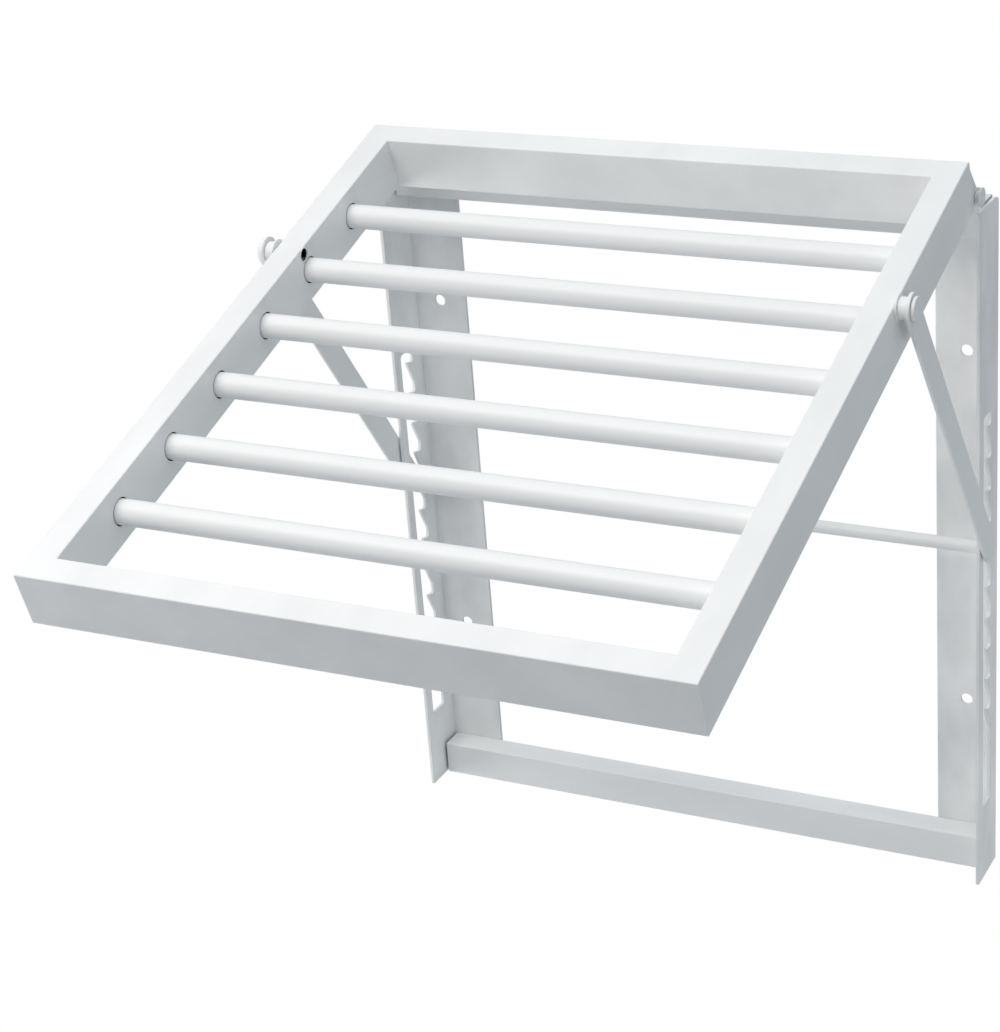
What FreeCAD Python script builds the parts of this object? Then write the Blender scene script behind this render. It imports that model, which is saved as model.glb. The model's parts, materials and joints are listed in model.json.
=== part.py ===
import FreeCAD, Part
import math
import os

# Wall-mounted folding tie hanger in white coated steel, sizes in millimetres.
# The origin is the centre of the four wall screws on the wall plane.
# +X is the hanger's right seen from the room, +Y points into the wall, +Z is up.

V = FreeCAD.Vector

# Folding frame: mitred rectangular tube with round hanging rods across it.
frame_width = 450.0
frame_length = 507.0
frame_tilt = 17.0
tube_width = 20.0
tube_height = 40.0
tube_wall = 1.5
tube_corner = 1.0
rod_count = 6
rod_pitch = 66.2
rod_diameter = 17.2
rod_wall = 1.2
rod_below_top = 20.0
rod_play = 0.9

# Wall frame: two sheet steel angles joined by two cross tubes, wide enough for the frame.
frame_side_gap = 4.1
upright_top = 253.4
upright_height = 523.0
leaf_width = 45.0
flange_depth = 45.0
sheet = 2.5
bend_radius = 3.0
flange_corner = 10.0
screw_hole = 9.0
screw_rise = 276.0
wall_rail_height = 26.5
wall_rail_depth = 20.5
wall_rail_end_gap = 2.0

# Hinge at the top of the wall frame.
hinge_behind_frame = 8.6
hinge_below_top = 34.1
hinge_above_rail = 5.8
fold_clearance = 1.6
hinge_plate = 4.0
hinge_plate_inset = 1.0
hinge_plate_gap = 1.0
lug_clearance = 2.0
lug_below_top = 2.5
lug_above_bottom = 2.5
ear_heel = 4.5
ear_corner = 3.0
hinge_pin = 6.0
hinge_neck = 8.5
hinge_head_edge = 0.5
hinge_head = 1.2
hinge_head_gap = 0.3
hinge_tail = 9.0
hinge_tail_height = 2.0

# Prop: two flat arms outside the uprights and a cross rod in the slots.
pivot_from_back = 156.7
pivot_below_top = 5.5
access_hole = 9.0
arm_width = 21.0
arm_thickness = 2.5
arm_outside_flange = 1.2
pivot_washer = 18.4
pivot_washer_height = 1.5
pivot_neck = 14.8
pivot_shank = 8.0
pivot_bolt = 6.0
pivot_head = 16.8
pivot_head_height = 2.5
pivot_tail = 7.6
pivot_tail_height = 2.0
cross_rod = 9.5

# Slot in each flange with hook pockets on its wall side.
slot_front = 36.1
slot_back = 17.0
channel_width = 10.4
pocket_count = 10
upper_pocket_count = 4
pocket_pitch = 24.9
pocket_headroom = 11.5
pocket_lip = 2.1
pocket_back = 8.7
pocket_corner = 2.8
hook_blunt = 1.5
rest_lift = 10.1
folded_rod_rise = 76.7
slot_end_room = 16.0

# Clearances between pieces that move on each other.
running = 0.05
side_gap = 0.3
edge_round = 0.4

# Positions that follow from the sizes above.
wall_width = frame_width + 2 * (frame_side_gap + sheet)
flange_out = wall_width / 2
flange_in = flange_out - sheet
upright_bottom = upright_top - upright_height
screw_x = flange_out - leaf_width / 2
rail_front = -(sheet + wall_rail_depth)
hinge_gap = tube_height - hinge_below_top + fold_clearance
hinge_y = rail_front - hinge_gap
hinge_z = upright_top + hinge_above_rail
rail_out = frame_width / 2
rail_in = rail_out - tube_width
back_y = -hinge_behind_frame
front_y = back_y - frame_length
top_z = hinge_below_top
bottom_z = top_z - tube_height
first_rod = (frame_length - (rod_count - 1) * rod_pitch) / 2
rod_radius = rod_diameter / 2
arm_in = flange_out + arm_outside_flange
arm_out = arm_in + arm_thickness
hook_tip_y = -(slot_front - channel_width)
cross_rod_y = -(slot_front - channel_width / 2)
tilt = math.radians(frame_tilt)
pivot_forward = hinge_behind_frame + pivot_from_back
pivot_up = hinge_below_top - pivot_below_top
pivot_y = hinge_y - pivot_forward * math.cos(tilt) - pivot_up * math.sin(tilt)
pivot_z = hinge_z - pivot_forward * math.sin(tilt) + pivot_up * math.cos(tilt)

# Folded down, the frame hangs from the hinge and leans on the cross rod low in the slot.
folded_rod_z = upright_bottom + folded_rod_rise
rod_forward = hinge_y - cross_rod_y
rod_drop = hinge_z - folded_rod_z
rod_behind_hinge_line = cross_rod / 2 + side_gap - bottom_z
folded_lean = math.atan2(rod_forward, rod_drop)
folded_lean += math.asin(rod_behind_hinge_line / math.hypot(rod_forward, rod_drop))
folded_pivot_y = hinge_y - pivot_forward * math.sin(folded_lean) - pivot_up * math.cos(folded_lean)
folded_pivot_z = hinge_z - pivot_forward * math.cos(folded_lean) + pivot_up * math.sin(folded_lean)
arm_length = math.hypot(cross_rod_y - folded_pivot_y, folded_pivot_z - folded_rod_z)
slot_end = folded_rod_z - slot_end_room

# Propped up, the cross rod stands in the slot beside the pocket in use.
cross_rod_z = pivot_z - math.sqrt(arm_length**2 - (cross_rod_y - pivot_y)**2)
arm_lean = math.degrees(math.atan2(cross_rod_y - pivot_y, pivot_z - cross_rod_z))
first_pocket = cross_rod_z - rest_lift + upper_pocket_count * pocket_pitch


def outline(points, radii):
    """Flat face inside a closed row of points, each corner rounded by its radius."""
    starts = []
    ends = []
    middles = []
    for i, corner in enumerate(points):
        before = (points[i - 1] - corner).normalize()
        after = (points[(i + 1) % len(points)] - corner).normalize()
        half = before.getAngle(after) / 2
        reach = radii[i] / math.tan(half)
        inward = (before + after).normalize()
        starts.append(corner + before * reach)
        ends.append(corner + after * reach)
        middles.append(corner + inward * (radii[i] / math.sin(half) - radii[i]))
    edges = []
    for i in range(len(points)):
        if radii[i] > 0:
            edges.append(Part.Arc(starts[i], middles[i], ends[i]).toShape())
        following = starts[(i + 1) % len(points)]
        if (following - ends[i]).Length > 1e-6:
            edges.append(Part.makeLine(ends[i], following))
    return Part.Face(Part.Wire(edges))


def side_plate(points, radii, x_start, x_end):
    """Plate across X from points (y, z) of its side view."""
    face = outline([V(x_start, y, z) for y, z in points], radii)
    return face.extrude(V(x_end - x_start, 0, 0))


def cylinder_x(radius, x_start, x_end, y, z):
    """Round bar along X between two X positions."""
    return Part.makeCylinder(radius, x_end - x_start, V(x_start, y, z), V(1, 0, 0))


def turned(profile, y, z):
    """Turned piece about an X axis from a closed row of (x, radius) points."""
    points = [V(x, y, z + radius) for x, radius in profile]
    face = Part.Face(Part.makePolygon(points + points[:1]))
    return face.revolve(V(0, y, z), V(1, 0, 0), 360)


def round_rim(shape, x, radius, size):
    """Rounds the circular edge of a turned piece at one X position and radius."""
    rims = []
    for edge in shape.Edges:
        if isinstance(edge.Curve, Part.Circle) and abs(edge.Curve.Radius - radius) < 1e-6:
            if abs(edge.Curve.Center.x - x) < 1e-6:
                rims.append(edge)
    return shape.makeFillet(size, rims)


def edges_along(shape, direction):
    """Straight edges of a shape that run along a direction."""
    found = []
    for edge in shape.Edges:
        if isinstance(edge.Curve, Part.Line):
            run = edge.Vertexes[1].Point - edge.Vertexes[0].Point
            if run.cross(direction).Length < 1e-6 * run.Length:
                found.append(edge)
    return found


def tangent(point, radius, side):
    """Point where a line from a point touches a circle about the origin, side +1 or -1."""
    angle = math.atan2(point[1], point[0])
    angle = angle + side * math.acos(radius / math.hypot(point[0], point[1]))
    return (radius * math.cos(angle), radius * math.sin(angle))


def mirrored(shape):
    """The left-hand copy of a right-hand piece."""
    return shape.mirror(V(0, 0, 0), V(1, 0, 0))


def on_frame(shape):
    """Moves a piece built about the hinge on a level frame to the tilted frame."""
    placed = shape.copy()
    placed.rotate(V(0, 0, 0), V(1, 0, 0), frame_tilt)
    placed.translate(V(0, hinge_y, hinge_z))
    return placed


parts = {}

# Right upright: bent sheet angle, its leaf on the wall and its flange at the outer edge.
leaf = Part.makeBox(leaf_width, sheet, upright_height, V(flange_out - leaf_width, -sheet, upright_bottom))
flange = Part.makeBox(sheet, flange_depth, upright_height, V(flange_in, -flange_depth, upright_bottom))
upright = leaf.fuse(flange).removeSplitter()
bend = [
    edge
    for edge in edges_along(upright, V(0, 0, 1))
    if abs(edge.Vertexes[0].X - flange_out) < 1e-6 and abs(edge.Vertexes[0].Y) < 1e-6
]
upright = upright.makeFillet(bend_radius, bend)

# The top corner of the angle is rounded off at the wall.
corner_y = -flange_corner
corner_z = upright_top - flange_corner
corner_box = Part.makeBox(wall_width, 2 * flange_corner, 2 * flange_corner, V(0, corner_y, corner_z))
corner_round = cylinder_x(flange_corner, 0, wall_width, corner_y, corner_z)
upright = upright.cut(corner_box.cut(corner_round))

# Slot side view: straight front and lower end, hook pockets up the wall side.
slot_points = [(-slot_front, first_pocket + pocket_headroom), (-slot_front, slot_end)]
slot_radii = [pocket_corner, 0.0]
slot_points.append((-slot_back, slot_end))
slot_radii.append(0.0)
last_floor = first_pocket - (pocket_count - 1) * pocket_pitch
slot_points.append((-slot_back, last_floor - pocket_pitch + pocket_back))
slot_radii.append(pocket_corner)
for pocket in range(pocket_count, 0, -1):
    floor = first_pocket - (pocket - 1) * pocket_pitch
    slot_points.append((hook_tip_y, floor + pocket_lip - hook_blunt))
    slot_points.append((hook_tip_y, floor + pocket_lip))
    slot_points.append((-slot_back, floor))
    slot_radii.extend([0.0, 0.0, pocket_corner])
    if pocket > 1:
        slot_points.append((-slot_back, floor + pocket_back))
        slot_radii.append(pocket_corner)
slot_points.append((-slot_back, first_pocket + pocket_headroom))
slot_radii.append(pocket_corner)
slot = side_plate(slot_points, slot_radii, flange_in - 1, flange_out + 1)
upright = upright.cut(slot)

# Two screw holes on the middle line of the leaf.
for hole_z in (-screw_rise / 2, screw_rise / 2):
    hole = Part.makeCylinder(screw_hole / 2, 3 * sheet, V(screw_x, sheet, hole_z), V(0, -1, 0))
    upright = upright.cut(hole)
parts["right_upright"] = upright
parts["left_upright"] = mirrored(upright)


def wall_rail(z_bottom):
    """Rectangular cross tube that stands on the two leaves and ends short of the flanges."""
    end = flange_in - wall_rail_end_gap
    start = V(-end, rail_front, z_bottom)
    outer = Part.makeBox(2 * end, wall_rail_depth, wall_rail_height, start)
    outer = outer.makeFillet(tube_corner, edges_along(outer, V(1, 0, 0)))
    inner_start = start + V(0, tube_wall, tube_wall)
    inner_depth = wall_rail_depth - 2 * tube_wall
    inner_height = wall_rail_height - 2 * tube_wall
    return outer.cut(Part.makeBox(2 * end, inner_depth, inner_height, inner_start))


parts["wall_top_rail"] = wall_rail(upright_top - wall_rail_height)
parts["wall_bottom_rail"] = wall_rail(upright_bottom)


def side_prism(depth_start, depth_end, z_start, z_end):
    """Right side stretch of the frame between two depths from its outer face, mitred."""
    corners = [
        V(rail_out - depth_start, back_y - depth_start, z_start),
        V(rail_out - depth_end, back_y - depth_end, z_start),
        V(rail_out - depth_end, front_y + depth_end, z_start),
        V(rail_out - depth_start, front_y + depth_start, z_start),
    ]
    return outline(corners, [0.0] * 4).extrude(V(0, 0, z_end - z_start))


def end_prism(edge_y, inward, depth_start, depth_end, z_start, z_end):
    """Front or back stretch of the frame between two depths from its outer face, mitred."""
    corners = [
        V(-(rail_out - depth_start), edge_y + inward * depth_start, z_start),
        V(rail_out - depth_start, edge_y + inward * depth_start, z_start),
        V(rail_out - depth_end, edge_y + inward * depth_end, z_start),
        V(-(rail_out - depth_end), edge_y + inward * depth_end, z_start),
    ]
    return outline(corners, [0.0] * 4).extrude(V(0, 0, z_end - z_start))


# Side rail: tube with rod holes and the pivot's access hole in its inner wall.
cavity_depth = tube_width - tube_wall
cavity_low = bottom_z + tube_wall
cavity_high = top_z - tube_wall
rail = side_prism(0, tube_width, bottom_z, top_z)
rail = rail.makeFillet(tube_corner, edges_along(rail, V(0, 1, 0)))
rail = rail.cut(side_prism(tube_wall, cavity_depth, cavity_low, cavity_high))
rod_z = top_z - rod_below_top
rod_positions = [back_y - first_rod - i * rod_pitch for i in range(rod_count)]
for rod_y in rod_positions:
    rail = rail.cut(cylinder_x(rod_radius + rod_play, rail_in - 1, rail_in + tube_wall + 1, rod_y, rod_z))
pivot_hole = cylinder_x(access_hole / 2, rail_in - 1, rail_in + tube_wall + 1, -pivot_forward, pivot_up)
rail = rail.cut(pivot_hole)
bolt_hole = cylinder_x(pivot_bolt / 2, rail_out - tube_wall - 1, rail_out + 1, -pivot_forward, pivot_up)
rail = rail.cut(bolt_hole)
parts["frame_right_rail"] = on_frame(rail)
parts["frame_left_rail"] = on_frame(mirrored(rail))

# Front and back rails close the frame at the mitred corners.
for name, edge_y, inward in (("frame_front_rail", front_y, 1), ("frame_back_rail", back_y, -1)):
    rail = end_prism(edge_y, inward, 0, tube_width, bottom_z, top_z)
    rail = rail.makeFillet(tube_corner, edges_along(rail, V(1, 0, 0)))
    rail = rail.cut(end_prism(edge_y, inward, tube_wall, cavity_depth, cavity_low, cavity_high))
    parts[name] = on_frame(rail)

# Hanging rods: round tubes that pass the inner walls and end at the side rails' outer walls.
rod_end = rail_out - tube_wall
for number, rod_y in enumerate(rod_positions, 1):
    rod = cylinder_x(rod_radius, -rod_end, rod_end, rod_y, rod_z)
    bore = cylinder_x(rod_radius - rod_wall, -rod_end, rod_end, rod_y, rod_z)
    parts["hanging_rod_%d" % number] = on_frame(rod.cut(bore))

# Hinge lug: plate welded behind the frame, its eye turns on the hinge pin.
lug_out = rail_out - hinge_plate_inset
lug_in = lug_out - hinge_plate
lug_radius = hinge_gap - lug_clearance
lug_high = (back_y, top_z - lug_below_top)
lug_low = (back_y, bottom_z + lug_above_bottom)
lug_points = [lug_high, tangent(lug_high, lug_radius, -1), tangent(lug_low, lug_radius, 1), lug_low]
lug = side_plate(lug_points, [0.0] * 4, lug_in, lug_out)
lug = lug.fuse(cylinder_x(lug_radius, lug_in, lug_out, 0, 0)).removeSplitter()
lug = lug.cut(cylinder_x(hinge_pin / 2 + running, lug_in - 1, lug_out + 1, 0, 0))
parts["right_hinge_lug"] = on_frame(lug)
parts["left_hinge_lug"] = on_frame(mirrored(lug))

# Hinge ear: plate welded on the top cross tube, it holds the hinge pin.
ear_out = lug_in - hinge_plate_gap
ear_in = ear_out - hinge_plate
ear_foot = -hinge_above_rail
ear_front = hinge_gap + tube_corner
ear_back = hinge_gap + wall_rail_depth - tube_corner
ear_toe = (ear_front, ear_foot)
ear_top = (ear_back, ear_foot + ear_heel)
ear_points = [tangent(ear_toe, lug_radius, -1), ear_toe, (ear_back, ear_foot), ear_top]
ear_points.append(tangent(ear_top, lug_radius, 1))
ear = side_plate(ear_points, [0.0, 0.0, 0.0, ear_corner, 0.0], ear_in, ear_out)
ear = ear.fuse(cylinder_x(lug_radius, ear_in, ear_out, 0, 0)).removeSplitter()
ear = ear.cut(cylinder_x(hinge_pin / 2, ear_in - 1, ear_out + 1, 0, 0))
ear.translate(V(0, hinge_y, hinge_z))
parts["right_hinge_ear"] = ear
parts["left_hinge_ear"] = mirrored(ear)

# Hinge pin: shoulder rivet, closed on the ear's inner side, its head beside the flange.
head_out = flange_in - hinge_head_gap
head_in = head_out - hinge_head
head_radius = hinge_gap - hinge_head_edge
pin_profile = [
    (ear_in - hinge_tail_height, 0),
    (ear_in - hinge_tail_height, hinge_tail / 2),
    (ear_in, hinge_tail / 2),
    (ear_in, hinge_pin / 2),
    (lug_out + side_gap, hinge_pin / 2),
    (lug_out + side_gap, hinge_neck / 2),
    (head_in, hinge_neck / 2),
    (head_in, head_radius),
    (head_out, head_radius),
    (head_out, 0),
]
pin = turned(pin_profile, hinge_y, hinge_z)
pin = round_rim(pin, head_out, head_radius, hinge_head / 2)
pin = round_rim(pin, ear_in - hinge_tail_height, hinge_tail / 2, hinge_tail_height / 2)
parts["right_hinge_pin"] = pin
parts["left_hinge_pin"] = mirrored(pin)

# Pivot washer: disc on the rail's outer face under the prop's pivot.
washer_out = rail_out + pivot_washer_height
washer = cylinder_x(pivot_washer / 2, rail_out, washer_out, -pivot_forward, pivot_up)
washer = washer.cut(cylinder_x(pivot_bolt / 2, rail_out, washer_out, -pivot_forward, pivot_up))
washer = round_rim(washer, washer_out, pivot_washer / 2, edge_round)
parts["right_pivot_washer"] = on_frame(washer)
parts["left_pivot_washer"] = on_frame(mirrored(washer))

# Pivot stud: stand-off with a shank for the arm's eye and a broad flat head.
stud_head_in = arm_out + side_gap
stud_head_out = stud_head_in + pivot_head_height
tail_out = rail_out - tube_wall
stud_profile = [
    (tail_out - pivot_tail_height, 0),
    (tail_out - pivot_tail_height, pivot_tail / 2),
    (tail_out, pivot_tail / 2),
    (tail_out, pivot_bolt / 2),
    (washer_out, pivot_bolt / 2),
    (washer_out, pivot_neck / 2),
    (arm_in - side_gap, pivot_neck / 2),
    (arm_in - side_gap, pivot_shank / 2),
    (stud_head_in, pivot_shank / 2),
    (stud_head_in, pivot_head / 2),
    (stud_head_out, pivot_head / 2),
    (stud_head_out, 0),
]
stud = turned(stud_profile, -pivot_forward, pivot_up)
stud = round_rim(stud, stud_head_out, pivot_head / 2, pivot_head_height / 3)
parts["right_pivot_stud"] = on_frame(stud)
parts["left_pivot_stud"] = on_frame(mirrored(stud))

# Prop arm: flat bar with round ends, its upper eye turns on the pivot stud.
half = arm_width / 2
low = -arm_length - half
arm = side_plate([(-half, half), (half, half), (half, low), (-half, low)], [half] * 4, arm_in, arm_out)
rims = [edge for edge in arm.Edges if edge.BoundBox.XLength < 1e-6]
arm = arm.makeFillet(edge_round, rims)
arm = arm.cut(cylinder_x(pivot_shank / 2 + running, arm_in - 1, arm_out + 1, 0, 0))
arm.rotate(V(0, 0, 0), V(1, 0, 0), arm_lean)
arm.translate(V(0, pivot_y, pivot_z))
parts["right_prop_arm"] = arm
parts["left_prop_arm"] = mirrored(arm)

# Cross rod: it runs through both slots and ends at the arms.
cross_end = arm_in - side_gap
parts["prop_cross_rod"] = cylinder_x(cross_rod / 2, -cross_end, cross_end, cross_rod_y, cross_rod_z)

os.makedirs("parts", exist_ok=True)
for name, shape in parts.items():
    solid = shape.Solids[0]
    if len(shape.Solids) != 1 or not solid.isValid() or solid.Volume <= 0:
        raise ValueError("bad solid: " + name)
    solid.exportStep("parts/" + name + ".step")
    print(name, round(solid.Volume, 1))
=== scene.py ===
import json
import math

import bpy
import numpy as np
from mathutils import Matrix, Vector

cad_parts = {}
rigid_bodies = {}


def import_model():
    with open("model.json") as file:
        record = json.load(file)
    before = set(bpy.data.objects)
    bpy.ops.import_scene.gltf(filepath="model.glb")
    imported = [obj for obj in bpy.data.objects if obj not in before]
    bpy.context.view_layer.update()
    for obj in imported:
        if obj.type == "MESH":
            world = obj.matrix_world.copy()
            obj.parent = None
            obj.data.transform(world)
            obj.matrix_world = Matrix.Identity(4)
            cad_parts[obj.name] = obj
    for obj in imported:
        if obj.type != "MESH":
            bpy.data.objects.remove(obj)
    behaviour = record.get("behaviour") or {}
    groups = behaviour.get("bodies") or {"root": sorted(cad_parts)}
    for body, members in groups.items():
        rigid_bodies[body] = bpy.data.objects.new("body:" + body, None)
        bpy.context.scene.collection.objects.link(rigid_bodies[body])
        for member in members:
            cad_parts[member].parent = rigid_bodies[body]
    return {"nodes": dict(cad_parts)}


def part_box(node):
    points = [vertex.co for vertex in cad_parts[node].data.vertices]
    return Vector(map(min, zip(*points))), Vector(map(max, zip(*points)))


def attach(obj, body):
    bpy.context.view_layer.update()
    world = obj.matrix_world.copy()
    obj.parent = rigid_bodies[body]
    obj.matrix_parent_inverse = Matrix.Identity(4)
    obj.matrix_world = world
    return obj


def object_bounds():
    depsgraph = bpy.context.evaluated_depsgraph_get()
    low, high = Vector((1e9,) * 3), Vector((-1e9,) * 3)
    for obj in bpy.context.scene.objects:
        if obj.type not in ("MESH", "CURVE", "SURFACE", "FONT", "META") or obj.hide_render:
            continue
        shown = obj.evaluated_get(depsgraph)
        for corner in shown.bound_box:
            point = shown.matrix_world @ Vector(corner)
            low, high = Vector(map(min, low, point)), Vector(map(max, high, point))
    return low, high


# The start scene's own objects go first, so that the box is the hanger's alone.
for leftover in list(bpy.data.objects):
    bpy.data.objects.remove(leftover)
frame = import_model()
cad_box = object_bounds()

# Uprights: two angles of 2.5 mm steel sheet, laser cut with the notched slot and the screw holes,
# folded once lengthwise and powder coated white. The melted powder draws back a little from the
# cut edges, lies slightly thicker in some places than in others and sets with a faint orange peel.
MM = 0.001
SHEET_WHITE = (0.862, 0.866, 0.867)
THIN_COAT = 0.93
CUT_EDGE_SAMPLES = 6


def white_coat(name, white, cloud, cloud_size, stretch, peel_size, peel_depth, rough, soft_edge):
    """White powder coat in the piece's own Object coordinates, in metres.

    Colour: white times one plus or minus cloud, where a slow noise about cloud_size across decides,
    divided by stretch along each axis so that it can lie along a tube.
    Relief: the orange peel, a noise peel_size across and peel_depth high, and on it a grain a sixth
    as wide and a quarter as high. Roughness: rough plus or minus a tenth by a noise of its own.
    Edges: where soft_edge is above nothing, normals are bent over that width, as a skin of melted
    powder rounds them, and the coat lies thinner and a little greyer there.
    """
    coat = bpy.data.materials.new(name)
    coat.use_nodes = True
    nodes = coat.node_tree.nodes
    links = coat.node_tree.links
    shader = nodes["Principled BSDF"]
    shader.inputs["IOR"].default_value = 1.5
    shader.inputs["Specular IOR Level"].default_value = 0.4
    shader.inputs["Coat Weight"].default_value = 0.06
    shader.inputs["Coat Roughness"].default_value = 0.3

    place = nodes.new("ShaderNodeTexCoord")
    drawn = nodes.new("ShaderNodeMapping")
    drawn.inputs["Scale"].default_value = [1.0 / part for part in stretch]
    links.new(place.outputs["Object"], drawn.inputs["Vector"])

    slow = nodes.new("ShaderNodeTexNoise")
    slow.inputs["Scale"].default_value = 1.0 / cloud_size
    slow.inputs["Detail"].default_value = 3.0
    slow.inputs["Roughness"].default_value = 0.55
    links.new(drawn.outputs["Vector"], slow.inputs["Vector"])
    spread = nodes.new("ShaderNodeMapRange")
    spread.inputs["From Min"].default_value = 0.3
    spread.inputs["From Max"].default_value = 0.7
    links.new(slow.outputs["Fac"], spread.inputs["Value"])
    tone = nodes.new("ShaderNodeMix")
    tone.data_type = "RGBA"
    tone.inputs["A"].default_value = [part * (1.0 - cloud) for part in white] + [1.0]
    tone.inputs["B"].default_value = [part * (1.0 + cloud) for part in white] + [1.0]
    links.new(spread.outputs["Result"], tone.inputs["Factor"])
    colour = tone.outputs["Result"]

    patchy = nodes.new("ShaderNodeTexNoise")
    patchy.inputs["Scale"].default_value = 1.0 / (0.3 * cloud_size)
    patchy.inputs["Detail"].default_value = 4.0
    links.new(place.outputs["Object"], patchy.inputs["Vector"])
    sheen = nodes.new("ShaderNodeMapRange")
    sheen.inputs["To Min"].default_value = 0.9 * rough
    sheen.inputs["To Max"].default_value = 1.1 * rough
    links.new(patchy.outputs["Fac"], sheen.inputs["Value"])
    links.new(sheen.outputs["Result"], shader.inputs["Roughness"])

    relief = None
    if soft_edge > 0.0:
        rounded = nodes.new("ShaderNodeBevel")
        rounded.samples = CUT_EDGE_SAMPLES
        rounded.inputs["Radius"].default_value = soft_edge
        relief = rounded.outputs["Normal"]
        flat = nodes.new("ShaderNodeNewGeometry")
        bent = nodes.new("ShaderNodeVectorMath")
        bent.operation = "DOT_PRODUCT"
        links.new(relief, bent.inputs[0])
        links.new(flat.outputs["Normal"], bent.inputs[1])
        thin = nodes.new("ShaderNodeMapRange")
        thin.inputs["From Min"].default_value = 0.99
        thin.inputs["From Max"].default_value = 0.75
        links.new(bent.outputs["Value"], thin.inputs["Value"])
        worn = nodes.new("ShaderNodeMix")
        worn.data_type = "RGBA"
        worn.inputs["B"].default_value = [part * THIN_COAT for part in white] + [1.0]
        links.new(thin.outputs["Result"], worn.inputs["Factor"])
        links.new(colour, worn.inputs["A"])
        colour = worn.outputs["Result"]
    links.new(colour, shader.inputs["Base Color"])

    for size, depth in ((peel_size, peel_depth), (peel_size / 6.0, peel_depth / 4.0)):
        bumps = nodes.new("ShaderNodeTexNoise")
        bumps.inputs["Scale"].default_value = 1.0 / size
        bumps.inputs["Detail"].default_value = 1.0
        links.new(place.outputs["Object"], bumps.inputs["Vector"])
        raised = nodes.new("ShaderNodeBump")
        raised.inputs["Distance"].default_value = depth
        links.new(bumps.outputs["Fac"], raised.inputs["Height"])
        if relief is not None:
            links.new(relief, raised.inputs["Normal"])
        relief = raised.outputs["Normal"]
    links.new(relief, shader.inputs["Normal"])
    return coat


def coat_nodes(coat, *names):
    """Gives the named CAD nodes a finish through their material slots."""
    for name in names:
        for slot in frame["nodes"][name].material_slots:
            slot.material = coat


sheet_coat = white_coat(
    "sheet_white",
    white=SHEET_WHITE,
    cloud=0.1,
    cloud_size=40 * MM,
    stretch=(1.0, 1.0, 1.8),
    peel_size=2.2 * MM,
    peel_depth=0.022 * MM,
    rough=0.42,
    soft_edge=0.5 * MM,
)
coat_nodes(sheet_coat, "left_upright", "right_upright")

# Wall rails: two rectangular steel tubes between the uprights, laid on the leaves and welded to
# their inner edges from the wall side, where the beads stay below the wall plane. Coated in one
# go with the uprights.
TUBE_WHITE = (0.866, 0.869, 0.869)
LAP_BEAD = 2.1 * MM
LAP_RIPPLE = 2.4 * MM
BEAD_END = 3.0 * MM


def weld_bead(start, end, side_a, side_b, leg, ripple):
    """Rows of points of a fillet weld in a straight corner from start to end.

    Profile: from the corner along side_a by one leg, over an arc to one leg along side_b, and back.
    Path: the straight line, where the leg rises from nothing at each end as the fourth root of
    the height of a parabola and swells by a twentieth once every ripple.
    """
    start, end, side_a, side_b = (np.asarray(part, float) for part in (start, end, side_a, side_b))
    length = np.linalg.norm(end - start)
    steps = max(24, int(length / ripple) * 6)
    along = np.linspace(0.0, 1.0, steps)
    size = leg * (4.0 * along * (1.0 - along)) ** 0.25
    size *= 1.0 + 0.05 * np.sin(2.0 * np.pi * along * length / ripple)
    turn = np.linspace(0.0, 0.5 * np.pi, 9)
    bulge = 0.72 + 0.28 * np.abs(np.cos(2.0 * turn))
    across = np.concatenate([[0.0], bulge * np.cos(turn)])
    upward = np.concatenate([[0.0], bulge * np.sin(turn)])
    profile = across[:, None] * side_a + upward[:, None] * side_b
    path = start + along[:, None] * (end - start)
    rows = path[:, None, :] + size[:, None, None] * profile
    if np.linalg.det(np.array([end - start, side_a, side_b])) < 0.0:
        rows = rows[:, ::-1]
    return rows


def closed_ends(rows):
    """Points and faces of rows that close round, the first and last row drawn to one point each.

    The faces are three arrays: the quads between rows and the fan of triangles at each end.
    """
    count, around = rows.shape[:2]
    points = np.concatenate([rows[:1, 0], rows[1:-1].reshape(-1, 3), rows[-1:, 0]])
    ring = np.arange(around)
    ahead = (ring + 1) % around
    first = 1 + around * np.arange(count - 3)[:, None]
    quads = np.stack(
        [first + ring, first + ahead, first + around + ahead, first + around + ring], axis=-1
    ).reshape(-1, 4)
    last = 1 + around * (count - 3)
    start_fan = np.stack([np.zeros_like(ring), 1 + ahead, 1 + ring], axis=-1)
    end_fan = np.stack([np.full_like(ring, len(points) - 1), last + ring, last + ahead], axis=-1)
    return points, (quads, start_fan, end_fan)


def coated_piece(name, shapes, coat, body):
    """One smooth object at the origin, riding on a body, from several (points, faces) shapes."""
    points = np.concatenate([shape_points for shape_points, _ in shapes])
    faces = []
    shift = 0
    for shape_points, shape_faces in shapes:
        for alike in shape_faces:
            faces += (alike + shift).tolist()
        shift += len(shape_points)
    mesh = bpy.data.meshes.new(name)
    mesh.from_pydata(points.tolist(), [], faces)
    mesh.polygons.foreach_set("use_smooth", np.ones(len(mesh.polygons), bool))
    mesh.materials.append(coat)
    mesh.update()
    piece = bpy.data.objects.new(name, mesh)
    bpy.context.scene.collection.objects.link(piece)
    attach(piece, body)
    return piece


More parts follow.
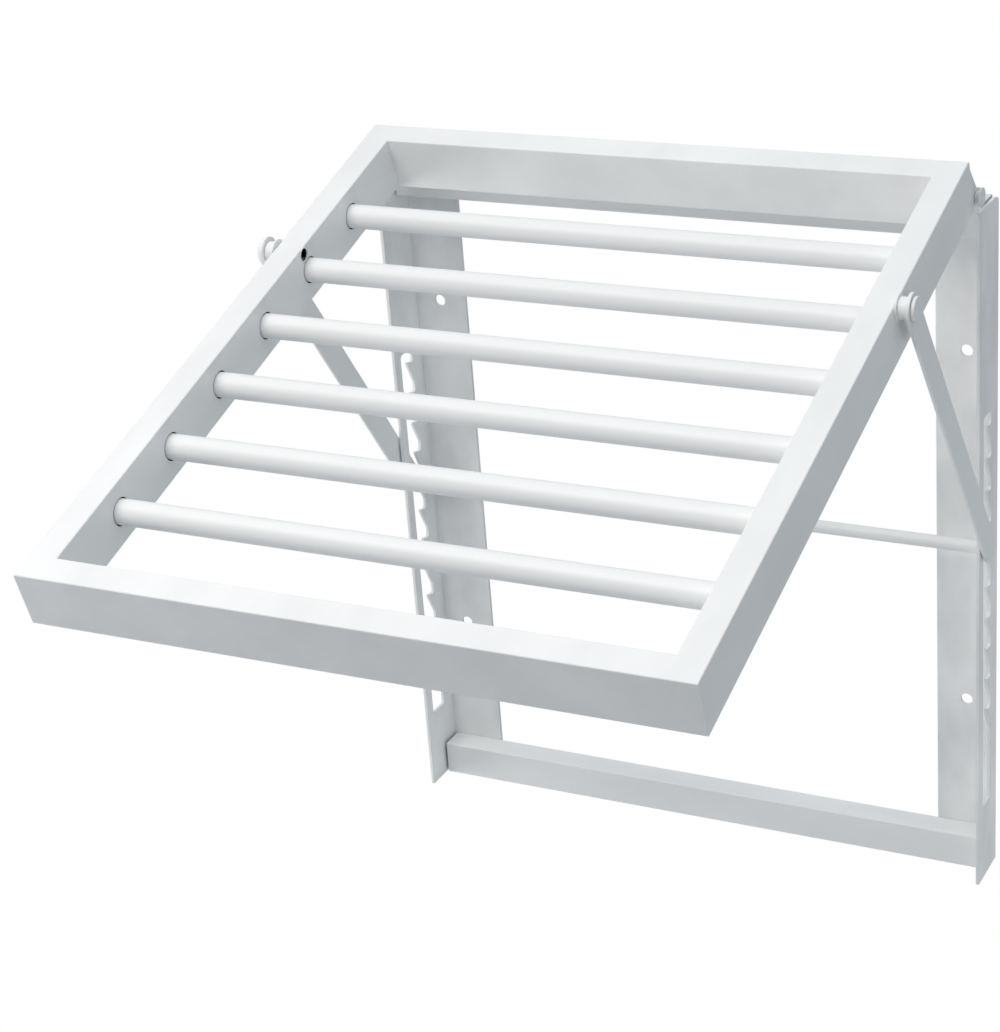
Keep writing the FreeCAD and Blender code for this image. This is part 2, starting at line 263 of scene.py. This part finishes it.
wall_rail_coat = white_coat(
    "wall_rail_white",
    white=TUBE_WHITE,
    cloud=0.04,
    cloud_size=50 * MM,
    stretch=(3.0, 1.0, 1.0),
    peel_size=2.0 * MM,
    peel_depth=0.018 * MM,
    rough=0.4,
    soft_edge=0.4 * MM,
)
coat_nodes(wall_rail_coat, "wall_top_rail", "wall_bottom_rail")
lap_beads = []
for rail_name in ("wall_top_rail", "wall_bottom_rail"):
    rail_low, rail_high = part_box(rail_name)
    for side_name, side in (("left_upright", -1.0), ("right_upright", 1.0)):
        leaf_low, leaf_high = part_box(side_name)
        leaf_edge = leaf_low.x if side > 0 else leaf_high.x
        bead_low = max(rail_low.z, leaf_low.z) + BEAD_END
        bead_high = min(rail_high.z, leaf_high.z) - BEAD_END
        bead = weld_bead(
            start=(leaf_edge, rail_high.y, bead_low),
            end=(leaf_edge, rail_high.y, bead_high),
            side_a=(-side, 0.0, 0.0),
            side_b=(0.0, 1.0, 0.0),
            leg=LAP_BEAD,
            ripple=LAP_RIPPLE,
        )
        lap_beads.append(closed_ends(bead))
coated_piece("wall_rail_welds", lap_beads, wall_rail_coat, "wall_frame")

# Hinge ears and pins: two 4 mm plates welded upright on the top rail, each holding a shoulder
# rivet of turned steel that the hanging frame turns on. Coated with the wall frame.
EAR_BEAD = 0.8 * MM
HINGE_RIPPLE = 2.0 * MM
hinge_coat = white_coat(
    "hinge_white",
    white=TUBE_WHITE,
    cloud=0.012,
    cloud_size=25 * MM,
    stretch=(1.0, 1.0, 1.0),
    peel_size=1.6 * MM,
    peel_depth=0.014 * MM,
    rough=0.38,
    soft_edge=0.35 * MM,
)
coat_nodes(hinge_coat, "left_hinge_ear", "right_hinge_ear", "left_hinge_pin", "right_hinge_pin")
rail_low, rail_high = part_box("wall_top_rail")
ear_beads = []
for ear_name in ("left_hinge_ear", "right_hinge_ear"):
    ear_low, ear_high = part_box(ear_name)
    for face_x, outward in ((ear_low.x, -1.0), (ear_high.x, 1.0)):
        bead = weld_bead(
            start=(face_x, rail_low.y + BEAD_END, rail_high.z),
            end=(face_x, rail_high.y - BEAD_END, rail_high.z),
            side_a=(outward, 0.0, 0.0),
            side_b=(0.0, 0.0, 1.0),
            leg=EAR_BEAD,
            ripple=HINGE_RIPPLE,
        )
        ear_beads.append(closed_ends(bead))
coated_piece("hinge_ear_welds", ear_beads, hinge_coat, "wall_frame")

# Hanging frame rails: 40 by 20 mm steel tube, mitred, welded at the corners and dressed flush
# before coating. Inside, the powder doesn't reach and the steel stays bare; there the colour is painted
# near-black, bare steel darkened further as painted shade, so that the inside reads dark through the
# holes.
# The hole for the pivot's rivet tool in each inner wall has a small rolled lip.
pin_low, pin_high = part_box("right_hinge_pin")
HINGE = np.array([0.0, 0.5 * (pin_low.y + pin_high.y), 0.5 * (pin_low.z + pin_high.z)])
rod_boxes = [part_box(name) for name in ("hanging_rod_1", "hanging_rod_6")]
first_rod, last_rod = (0.5 * (low + high) for low, high in rod_boxes)
FRAME_TILT = math.atan2(first_rod.z - last_rod.z, first_rod.y - last_rod.y)
FRAME_TURN = np.array(Matrix.Rotation(FRAME_TILT, 3, "X"))
COAT_REACH = 0.8 * MM
# Near-black inside the tubes: bare steel, darkened further as painted shade for the dark seen through the
# holes.
DARK_STEEL_AND_PAINTED_SHADE = (0.035, 0.034, 0.033, 1.0)
LIP_RING = 4.95 * MM
LIP_ROUND = 0.5 * MM
LIP_STEPS = (64, 12)


def on_frame(points):
    """Takes points given about the hinge on a level frame to the tilted frame."""
    return points @ FRAME_TURN.T + HINGE


def level_box(name):
    """Lowest and highest corner of a frame piece, turned back level about the hinge."""
    mesh = frame["nodes"][name].data
    places = np.empty(3 * len(mesh.vertices))
    mesh.vertices.foreach_get("co", places)
    level = (places.reshape(-1, 3) - HINGE) @ FRAME_TURN
    return level.min(axis=0), level.max(axis=0)


def paint_inside_dark_steel_and_shade(coat, low, high):
    """Darkens a coat to near-black inside the side rail with these level corners, and its mirror.

    The near-black is bare steel and painted shade together: it is darker than bare steel, so that the
    inside seen through the holes reads dark. A Mapping node turns the place back into the level frame
    about its hinge. A point is inside where, along each of the three axes, it is nearer to the rail's
    middle than half the tube less the reach of the powder. Left and right rail mirror each other, so X
    counts without its sign.
    """
    nodes = coat.node_tree.nodes
    links = coat.node_tree.links
    place = nodes.new("ShaderNodeTexCoord")
    level = nodes.new("ShaderNodeMapping")
    level.inputs["Rotation"].default_value = (-FRAME_TILT, 0.0, 0.0)
    level.inputs["Location"].default_value = -(HINGE @ FRAME_TURN)
    links.new(place.outputs["Object"], level.inputs["Vector"])
    apart = nodes.new("ShaderNodeSeparateXYZ")
    links.new(level.outputs["Vector"], apart.inputs["Vector"])
    mirrored = nodes.new("ShaderNodeMath")
    mirrored.operation = "ABSOLUTE"
    links.new(apart.outputs["X"], mirrored.inputs[0])
    values = (mirrored.outputs[0], apart.outputs["Y"], apart.outputs["Z"])
    inside = None
    for value, middle, half in zip(values, 0.5 * (low + high), 0.5 * (high - low)):
        near = nodes.new("ShaderNodeMath")
        near.operation = "COMPARE"
        near.inputs[1].default_value = middle
        near.inputs[2].default_value = half - COAT_REACH
        links.new(value, near.inputs[0])
        if inside is None:
            inside = near.outputs[0]
        else:
            both = nodes.new("ShaderNodeMath")
            both.operation = "MULTIPLY"
            links.new(inside, both.inputs[0])
            links.new(near.outputs[0], both.inputs[1])
            inside = both.outputs[0]
    shader = nodes["Principled BSDF"]
    painted = shader.inputs["Base Color"].links[0].from_socket
    # Painted shade: the inside of the tube turns near-black, darker than bare steel, so that the holes
    # read dark.
    dark_inside = nodes.new("ShaderNodeMix")
    dark_inside.data_type = "RGBA"
    dark_inside.inputs["B"].default_value = DARK_STEEL_AND_PAINTED_SHADE
    links.new(inside, dark_inside.inputs["Factor"])
    links.new(painted, dark_inside.inputs["A"])
    links.new(dark_inside.outputs["Result"], shader.inputs["Base Color"])


def hole_lip(centre, ring_radius, lip_radius):
    """Points and faces of a rolled lip: a small circle carried round a larger one about the X axis."""
    around, across = LIP_STEPS
    round_ring, round_lip = np.meshgrid(
        np.linspace(0.0, 2.0 * np.pi, around, endpoint=False),
        np.linspace(0.0, 2.0 * np.pi, across, endpoint=False),
        indexing="ij",
    )
    reach = ring_radius + lip_radius * np.cos(round_lip)
    points = np.stack(
        [lip_radius * np.sin(round_lip), reach * np.cos(round_ring), reach * np.sin(round_ring)], axis=-1
    )
    index = np.arange(around * across).reshape(around, across)
    ahead = np.roll(index, -1, axis=0)
    beside = np.roll(index, -1, axis=1)
    corner = np.roll(ahead, -1, axis=1)
    quads = np.stack([index, ahead, corner, beside], axis=-1).reshape(-1, 4)
    return on_frame(points.reshape(-1, 3) + centre), (quads,)


frame_rail_coat = white_coat(
    "frame_rail_white",
    white=TUBE_WHITE,
    cloud=0.04,
    cloud_size=50 * MM,
    stretch=(1.0, 2.5, 1.0),
    peel_size=2.0 * MM,
    peel_depth=0.018 * MM,
    rough=0.45,
    soft_edge=0.0,
)
side_rail_low, side_rail_high = level_box("frame_right_rail")
# Painted shade inside the side rails: near-black behind the access and rod holes.
paint_inside_dark_steel_and_shade(frame_rail_coat, side_rail_low, side_rail_high)
coat_nodes(
    frame_rail_coat, "frame_left_rail", "frame_right_rail", "frame_front_rail", "frame_back_rail"
)
stud_low, stud_high = level_box("right_pivot_stud")
lips = []
for side in (-1.0, 1.0):
    lip_centre = np.append(side * side_rail_low[0], 0.5 * (stud_low + stud_high)[1:])
    lips.append(hole_lip(lip_centre, LIP_RING, LIP_ROUND))
coated_piece("access_hole_lips", lips, frame_rail_coat, "hanging_frame")

# Hanging rods: six round steel tubes, put with a little play through holes in the side rails' inner
# walls and welded inside at the outer walls. The tube is drawn smooth and so is the coat on it.
rod_coat = white_coat(
    "rod_white",
    white=TUBE_WHITE,
    cloud=0.01,
    cloud_size=60 * MM,
    stretch=(4.0, 1.0, 1.0),
    peel_size=2.0 * MM,
    peel_depth=0.012 * MM,
    rough=0.42,
    soft_edge=0.0,
)
coat_nodes(rod_coat, *["hanging_rod_%d" % number for number in range(1, 7)])

# Hinge lugs: two 4 mm steel plates behind the back rail, each with an eye that turns on a pin.
# Their feet are welded to the rail along the upper part of both sides, and coated with the frame.
LUG_BEAD = 1.2 * MM
coat_nodes(hinge_coat, "left_hinge_lug", "right_hinge_lug")
behind = FRAME_TURN @ np.array([0.0, 1.0, 0.0])
lug_beads = []
for lug_name in ("left_hinge_lug", "right_hinge_lug"):
    lug_low, lug_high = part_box(lug_name)
    foot_low, foot_high = level_box(lug_name)
    for face_x, outward in ((lug_low.x, -1.0), (lug_high.x, 1.0)):
        foot = np.array(
            [[face_x, foot_low[1], 0.0], [face_x, foot_low[1], foot_high[2] - BEAD_END]]
        )
        heel, toe = on_frame(foot)
        bead = weld_bead(heel, toe, (outward, 0.0, 0.0), behind, LUG_BEAD, HINGE_RIPPLE)
        lug_beads.append(closed_ends(bead))
coated_piece("hinge_lug_welds", lug_beads, hinge_coat, "hanging_frame")

# Pivot washers and studs: turned steel stand-offs riveted to the side rails, with a flat head
# that keeps the prop's arm on the neck. Coated with the frame.
pivot_coat = white_coat(
    "pivot_white",
    white=TUBE_WHITE,
    cloud=0.012,
    cloud_size=20 * MM,
    stretch=(1.0, 1.0, 1.0),
    peel_size=1.5 * MM,
    peel_depth=0.012 * MM,
    rough=0.38,
    soft_edge=0.4 * MM,
)
coat_nodes(pivot_coat, "left_pivot_washer", "right_pivot_washer", "left_pivot_stud", "right_pivot_stud")

# Prop: two flat steel bars with punched round ends and a round bar across, which lies in the
# slots' pockets. Coated like the frame.
prop_coat = white_coat(
    "prop_white",
    white=TUBE_WHITE,
    cloud=0.014,
    cloud_size=50 * MM,
    stretch=(1.0, 1.5, 2.5),
    peel_size=1.8 * MM,
    peel_depth=0.016 * MM,
    rough=0.4,
    soft_edge=0.45 * MM,
)
coat_nodes(prop_coat, "left_prop_arm", "right_prop_arm", "prop_cross_rod")

# Floor: a plain pale studio floor, well below the hanger, which hangs on a wall. It looks white to
# the camera, and throws back less light than that on the hanger's undersides.
FLOOR_DROP = 0.95
FLOOR_REACH = 40.0
FLOOR_GREY = (0.45, 0.46, 0.47, 1.0)
PURE_WHITE = (1.0, 1.0, 1.0, 1.0)
floor_level = cad_box[0].z - FLOOR_DROP
corners = np.array([[-1.0, -1.0], [1.0, -1.0], [1.0, 1.0], [-1.0, 1.0]]) * FLOOR_REACH
floor_mesh = bpy.data.meshes.new("floor")
floor_mesh.from_pydata(np.column_stack([corners, np.full(4, floor_level)]).tolist(), [], [[0, 1, 2, 3]])
floor_coat = bpy.data.materials.new("floor_pale")
floor_coat.use_nodes = True
floor_nodes = floor_coat.node_tree.nodes
floor_links = floor_coat.node_tree.links
floor_grey = floor_nodes["Principled BSDF"]
floor_grey.inputs["Base Color"].default_value = FLOOR_GREY
floor_grey.inputs["Roughness"].default_value = 0.8
floor_pale = floor_nodes.new("ShaderNodeEmission")
floor_pale.inputs["Color"].default_value = PURE_WHITE
floor_seen = floor_nodes.new("ShaderNodeLightPath")
floor_either = floor_nodes.new("ShaderNodeMixShader")
floor_links.new(floor_seen.outputs["Is Camera Ray"], floor_either.inputs["Fac"])
floor_links.new(floor_grey.outputs["BSDF"], floor_either.inputs[1])
floor_links.new(floor_pale.outputs["Emission"], floor_either.inputs[2])
floor_links.new(floor_either.outputs["Shader"], floor_nodes["Material Output"].inputs["Surface"])
floor_mesh.materials.append(floor_coat)
floor = bpy.data.objects.new("floor", floor_mesh)
bpy.context.scene.collection.objects.link(floor)

# Studio light: a wide soft ceiling over everything, a soft key disc high in front, a fill disc low
# on the left, a faint one low on the right, and a cool room all round, which looks white where the
# camera sees it past the floor.
LIGHT_AIM = (0.0, -0.25, 0.05)
ROOM_COLOUR = (0.935, 1.0, 1.04, 1.0)


def soft_disc(name, place, aim, width, power, colour):
    """Disc light of a width and power at a place, turned to face the aim point."""
    disc = bpy.data.lights.new(name, "AREA")
    disc.shape = "DISK"
    disc.size = width
    disc.energy = power
    disc.color = colour
    lamp = bpy.data.objects.new(name, disc)
    bpy.context.scene.collection.objects.link(lamp)
    lamp.location = place
    lamp.rotation_mode = "QUATERNION"
    lamp.rotation_quaternion = (Vector(place) - Vector(aim)).to_track_quat("Z", "Y")


soft_disc(
    "key_light", place=(-0.45, -1.2, 1.55), aim=LIGHT_AIM, width=1.2, power=15.0, colour=(1.0, 0.94, 0.9)
)
soft_disc(
    "fill_light", place=(-2.0, -0.6, -0.6), aim=LIGHT_AIM, width=1.2, power=20.0, colour=(1.0, 0.99, 0.98)
)
soft_disc(
    "low_light",
    place=(0.9, -0.06, -0.7),
    aim=(0.23, -0.02, -0.27),
    width=0.5,
    power=1.9,
    colour=(0.96, 1.0, 1.0),
)

ceiling = bpy.data.lights.new("ceiling_light", "SUN")
ceiling.energy = 0.92
ceiling.angle = math.radians(100.0)
ceiling.color = (0.9, 0.962, 1.0)
bpy.context.scene.collection.objects.link(bpy.data.objects.new("ceiling_light", ceiling))

room = bpy.data.worlds.new("studio")
room.use_nodes = True
bpy.context.scene.world = room
room_nodes = room.node_tree.nodes
room_links = room.node_tree.links
room_dim = room_nodes["Background"]
room_dim.inputs["Color"].default_value = ROOM_COLOUR
room_dim.inputs["Strength"].default_value = 0.375
room_pale = room_nodes.new("ShaderNodeBackground")
room_pale.inputs["Color"].default_value = PURE_WHITE
room_seen = room_nodes.new("ShaderNodeLightPath")
room_either = room_nodes.new("ShaderNodeMixShader")
room_links.new(room_seen.outputs["Is Camera Ray"], room_either.inputs["Fac"])
room_links.new(room_dim.outputs["Background"], room_either.inputs[1])
room_links.new(room_pale.outputs["Background"], room_either.inputs[2])
room_links.new(room_either.outputs["Shader"], room_nodes["World Output"].inputs["Surface"])
bpy.context.scene.view_settings.view_transform = "Standard"

# Camera: the photograph's own place, turn and focal length, fitted to the frame's corners. The
# fit gives the focal length in pixels of the photograph, which is 1032 pixels high.
FOCAL_PIXELS = 2609.13
PHOTO_HEIGHT = 1032.0
SENSOR_HEIGHT = 24.0
camera_data = bpy.data.cameras.new("photo_camera")
camera_data.sensor_fit = "VERTICAL"
camera_data.sensor_height = SENSOR_HEIGHT
camera_data.lens = SENSOR_HEIGHT * FOCAL_PIXELS / PHOTO_HEIGHT
camera_data.clip_end = 100.0
camera = bpy.data.objects.new("photo_camera", camera_data)
bpy.context.scene.collection.objects.link(camera)
camera.matrix_world = Matrix(
    (
        (0.89334, -0.120058, 0.433048, 0.722878),
        (0.443614, 0.389512, -0.807148, -1.669452),
        (-0.071773, 0.913163, 0.401225, 0.789573),
        (0.0, 0.0, 0.0, 1.0),
    )
)
bpy.context.scene.camera = camera
